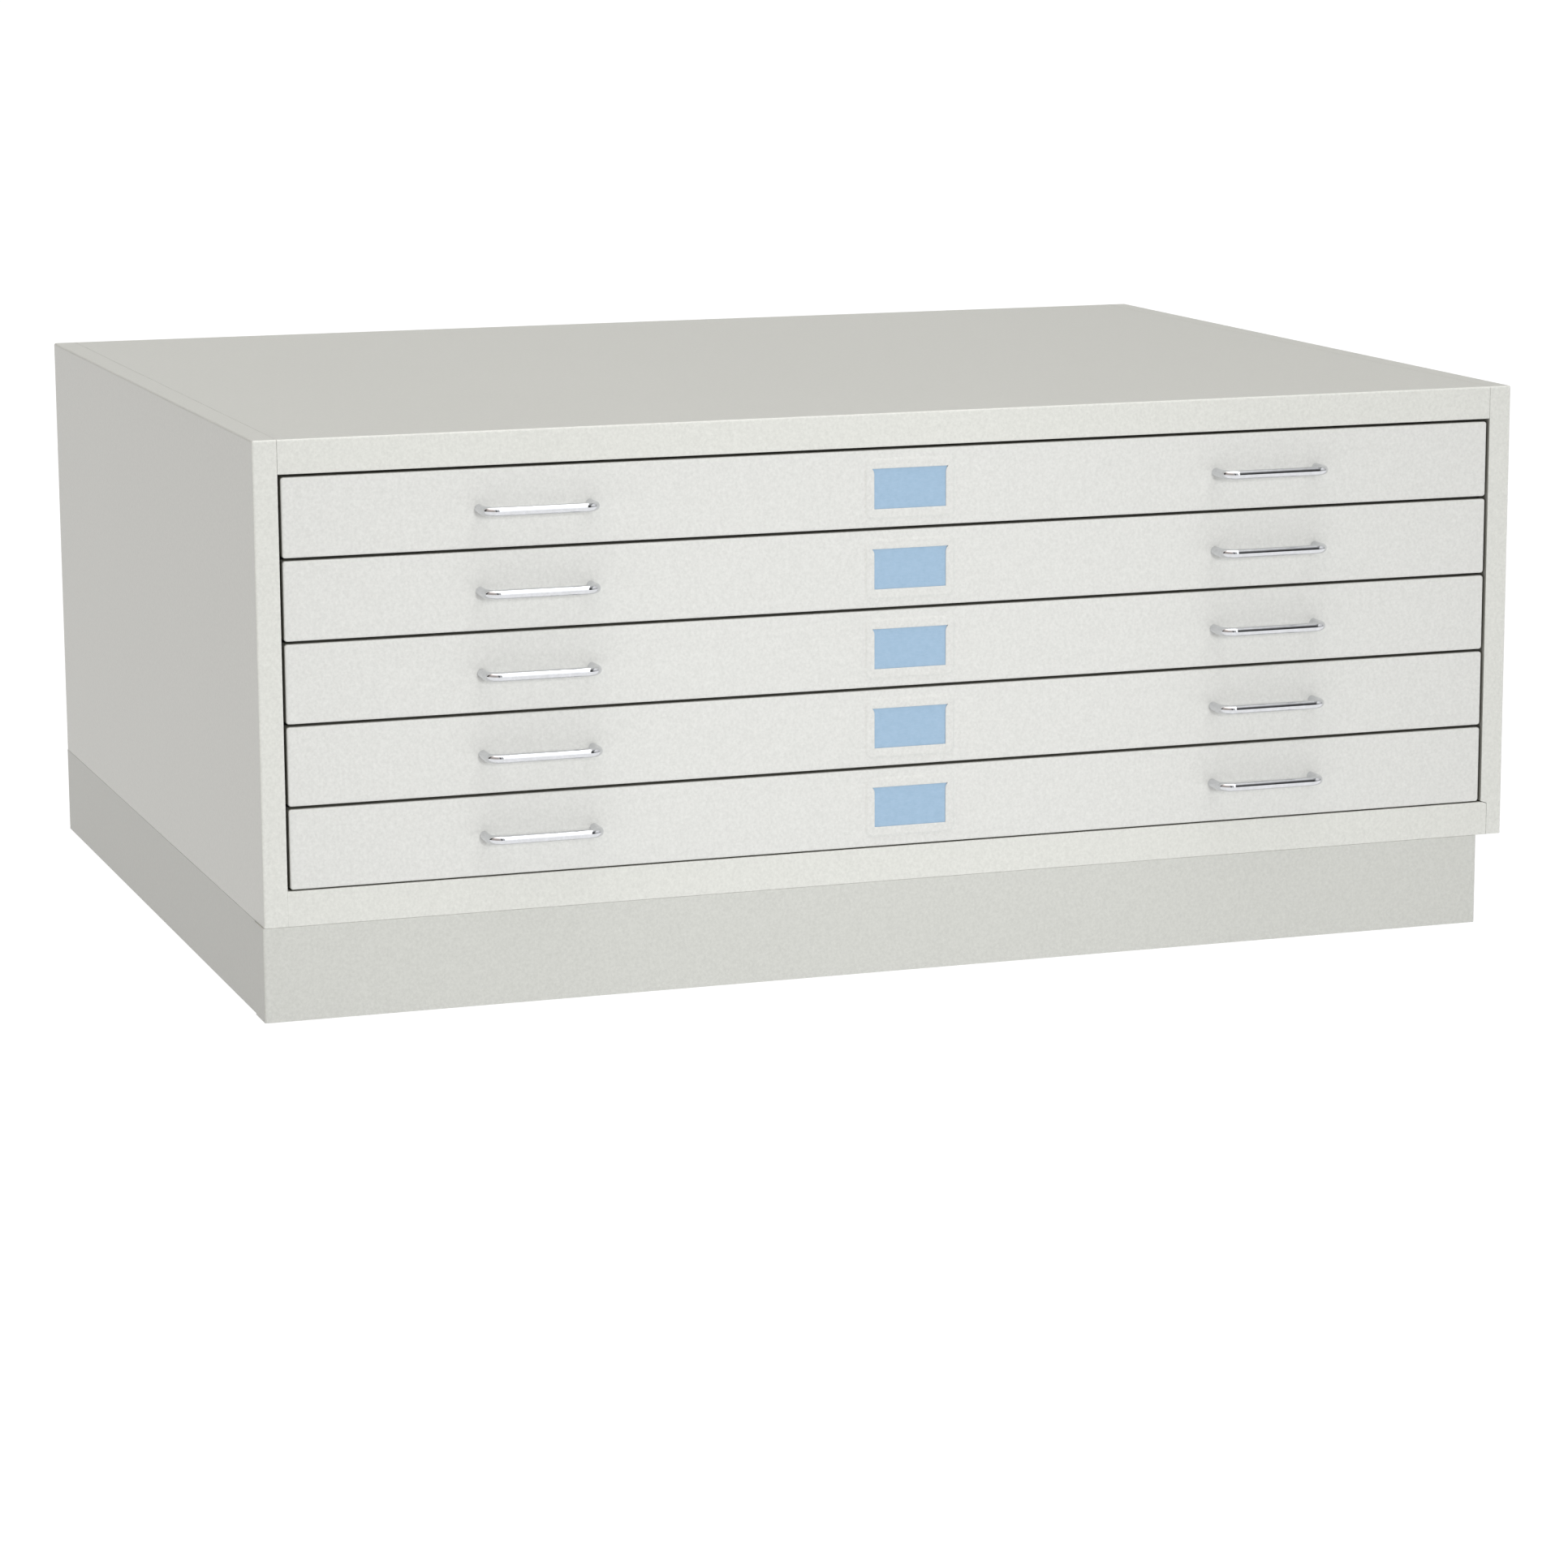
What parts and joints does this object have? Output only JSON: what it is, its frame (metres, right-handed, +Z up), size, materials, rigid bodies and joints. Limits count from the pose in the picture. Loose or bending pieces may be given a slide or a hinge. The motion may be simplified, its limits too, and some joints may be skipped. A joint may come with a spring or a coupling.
{
  "type": "flat file cabinet",
  "caption": "Low steel flat file for large sheets: wide shallow drawers on roller slides with wire pulls and label holders, on a closed base.",
  "frame": {"origin": "on the floor, midway between the cabinet's sides and between the handles' fronts and the back, within 1 mm of the middle of the bounding box", "axes": "+X to the right as seen from the front, the drawers pull out along -Y, +Z up"},
  "size_m": [1.1792, 0.928, 0.502],
  "materials": {
    "cabinet_paint": "satin powder coat",
    "drawer_paint": "satin powder coat",
    "tray_paint": "satin powder coat",
    "base_paint": "satin powder coat",
    "chrome": "polished plate",
    "zinc_steel": "zinc plated",
    "roller": "moulded nylon",
    "card": "uncoated card"
  },
  "bodies": {
    "cabinet": {"left_side_panel": "cabinet_paint", "right_side_panel": "cabinet_paint", "top_panel": "cabinet_paint", "back_panel": "cabinet_paint", "bottom_panel": "cabinet_paint", "bottom_rail": "cabinet_paint", "left_drawer_channels": "zinc_steel", "right_drawer_channels": "zinc_steel", "front_roller_studs": "zinc_steel", "base_front": "base_paint", "base_left_side": "base_paint", "base_right_side": "base_paint", "base_back": "base_paint", "base_cross_rails": "base_paint", "base_bolts": "zinc_steel"},
    "drawer_1": {"drawer_1_front": "drawer_paint", "drawer_1_tray": "tray_paint", "drawer_1_rear_hood": "tray_paint", "drawer_1_handles": "chrome", "drawer_1_label_card": "card", "drawer_1_hardware": "zinc_steel"},
    "flap_1": {"drawer_1_flap": "tray_paint"},
    "rear_rollers_1": {"drawer_1_rear_rollers": "roller"},
    "front_rollers_1": {"drawer_1_front_rollers": "roller"},
    "drawer_2": {"drawer_2_front": "drawer_paint", "drawer_2_tray": "tray_paint", "drawer_2_rear_hood": "tray_paint", "drawer_2_handles": "chrome", "drawer_2_label_card": "card", "drawer_2_hardware": "zinc_steel"},
    "flap_2": {"drawer_2_flap": "tray_paint"},
    "rear_rollers_2": {"drawer_2_rear_rollers": "roller"},
    "front_rollers_2": {"drawer_2_front_rollers": "roller"},
    "drawer_3": {"drawer_3_front": "drawer_paint", "drawer_3_tray": "tray_paint", "drawer_3_rear_hood": "tray_paint", "drawer_3_handles": "chrome", "drawer_3_label_card": "card", "drawer_3_hardware": "zinc_steel"},
    "flap_3": {"drawer_3_flap": "tray_paint"},
    "rear_rollers_3": {"drawer_3_rear_rollers": "roller"},
    "front_rollers_3": {"drawer_3_front_rollers": "roller"},
    "drawer_4": {"drawer_4_front": "drawer_paint", "drawer_4_tray": "tray_paint", "drawer_4_rear_hood": "tray_paint", "drawer_4_handles": "chrome", "drawer_4_label_card": "card", "drawer_4_hardware": "zinc_steel"},
    "flap_4": {"drawer_4_flap": "tray_paint"},
    "rear_rollers_4": {"drawer_4_rear_rollers": "roller"},
    "front_rollers_4": {"drawer_4_front_rollers": "roller"},
    "drawer_5": {"drawer_5_front": "drawer_paint", "drawer_5_tray": "tray_paint", "drawer_5_rear_hood": "tray_paint", "drawer_5_handles": "chrome", "drawer_5_label_card": "card", "drawer_5_hardware": "zinc_steel"},
    "flap_5": {"drawer_5_flap": "tray_paint"},
    "rear_rollers_5": {"drawer_5_rear_rollers": "roller"},
    "front_rollers_5": {"drawer_5_front_rollers": "roller"}
  },
  "joints": [
    {"name": "drawer_1_slide", "type": "slide", "parent": "cabinet", "child": "drawer_1", "axis": [0, -1, 0], "range_m": [0, 0.66]},
    {"name": "drawer_1_flap_hinge", "type": "hinge", "parent": "drawer_1", "child": "flap_1", "pos_m": [0, -0.4122, 0.1259], "axis": [1, 0, 0], "range_deg": [0, 28]},
    {"name": "drawer_1_rear_roller_spin", "type": "hinge", "parent": "drawer_1", "child": "rear_rollers_1", "pos_m": [0, 0.3706, 0.147], "axis": [1, 0, 0], "continuous": true},
    {"name": "drawer_1_front_roller_spin", "type": "hinge", "parent": "cabinet", "child": "front_rollers_1", "pos_m": [0, -0.396, 0.147], "axis": [1, 0, 0], "continuous": true},
    {"name": "drawer_2_slide", "type": "slide", "parent": "cabinet", "child": "drawer_2", "axis": [0, -1, 0], "range_m": [0, 0.66]},
    {"name": "drawer_2_flap_hinge", "type": "hinge", "parent": "drawer_2", "child": "flap_2", "pos_m": [0, -0.4122, 0.1971], "axis": [1, 0, 0], "range_deg": [0, 28]},
    {"name": "drawer_2_rear_roller_spin", "type": "hinge", "parent": "drawer_2", "child": "rear_rollers_2", "pos_m": [0, 0.3706, 0.2182], "axis": [1, 0, 0], "continuous": true},
    {"name": "drawer_2_front_roller_spin", "type": "hinge", "parent": "cabinet", "child": "front_rollers_2", "pos_m": [0, -0.396, 0.2182], "axis": [1, 0, 0], "continuous": true},
    {"name": "drawer_3_slide", "type": "slide", "parent": "cabinet", "child": "drawer_3", "axis": [0, -1, 0], "range_m": [0, 0.66]},
    {"name": "drawer_3_flap_hinge", "type": "hinge", "parent": "drawer_3", "child": "flap_3", "pos_m": [0, -0.4122, 0.2683], "axis": [1, 0, 0], "range_deg": [0, 28]},
    {"name": "drawer_3_rear_roller_spin", "type": "hinge", "parent": "drawer_3", "child": "rear_rollers_3", "pos_m": [0, 0.3706, 0.2894], "axis": [1, 0, 0], "continuous": true},
    {"name": "drawer_3_front_roller_spin", "type": "hinge", "parent": "cabinet", "child": "front_rollers_3", "pos_m": [0, -0.396, 0.2894], "axis": [1, 0, 0], "continuous": true},
    {"name": "drawer_4_slide", "type": "slide", "parent": "cabinet", "child": "drawer_4", "axis": [0, -1, 0], "range_m": [0, 0.66]},
    {"name": "drawer_4_flap_hinge", "type": "hinge", "parent": "drawer_4", "child": "flap_4", "pos_m": [0, -0.4122, 0.3395], "axis": [1, 0, 0], "range_deg": [0, 28]},
    {"name": "drawer_4_rear_roller_spin", "type": "hinge", "parent": "drawer_4", "child": "rear_rollers_4", "pos_m": [0, 0.3706, 0.3606], "axis": [1, 0, 0], "continuous": true},
    {"name": "drawer_4_front_roller_spin", "type": "hinge", "parent": "cabinet", "child": "front_rollers_4", "pos_m": [0, -0.396, 0.3606], "axis": [1, 0, 0], "continuous": true},
    {"name": "drawer_5_slide", "type": "slide", "parent": "cabinet", "child": "drawer_5", "axis": [0, -1, 0], "range_m": [0, 0.66]},
    {"name": "drawer_5_flap_hinge", "type": "hinge", "parent": "drawer_5", "child": "flap_5", "pos_m": [0, -0.4122, 0.4107], "axis": [1, 0, 0], "range_deg": [0, 28]},
    {"name": "drawer_5_rear_roller_spin", "type": "hinge", "parent": "drawer_5", "child": "rear_rollers_5", "pos_m": [0, 0.3706, 0.4318], "axis": [1, 0, 0], "continuous": true},
    {"name": "drawer_5_front_roller_spin", "type": "hinge", "parent": "cabinet", "child": "front_rollers_5", "pos_m": [0, -0.396, 0.4318], "axis": [1, 0, 0], "continuous": true}
  ],
  "couplings": [
    {"joint": "drawer_1_rear_roller_spin", "follows": "drawer_1_slide", "rad_per_m": 85.47},
    {"joint": "drawer_1_front_roller_spin", "follows": "drawer_1_slide", "rad_per_m": 85.47},
    {"joint": "drawer_2_rear_roller_spin", "follows": "drawer_2_slide", "rad_per_m": 85.47},
    {"joint": "drawer_2_front_roller_spin", "follows": "drawer_2_slide", "rad_per_m": 85.47},
    {"joint": "drawer_3_rear_roller_spin", "follows": "drawer_3_slide", "rad_per_m": 85.47},
    {"joint": "drawer_3_front_roller_spin", "follows": "drawer_3_slide", "rad_per_m": 85.47},
    {"joint": "drawer_4_rear_roller_spin", "follows": "drawer_4_slide", "rad_per_m": 85.47},
    {"joint": "drawer_4_front_roller_spin", "follows": "drawer_4_slide", "rad_per_m": 85.47},
    {"joint": "drawer_5_rear_roller_spin", "follows": "drawer_5_slide", "rad_per_m": 85.47},
    {"joint": "drawer_5_front_roller_spin", "follows": "drawer_5_slide", "rad_per_m": 85.47}
  ]
}
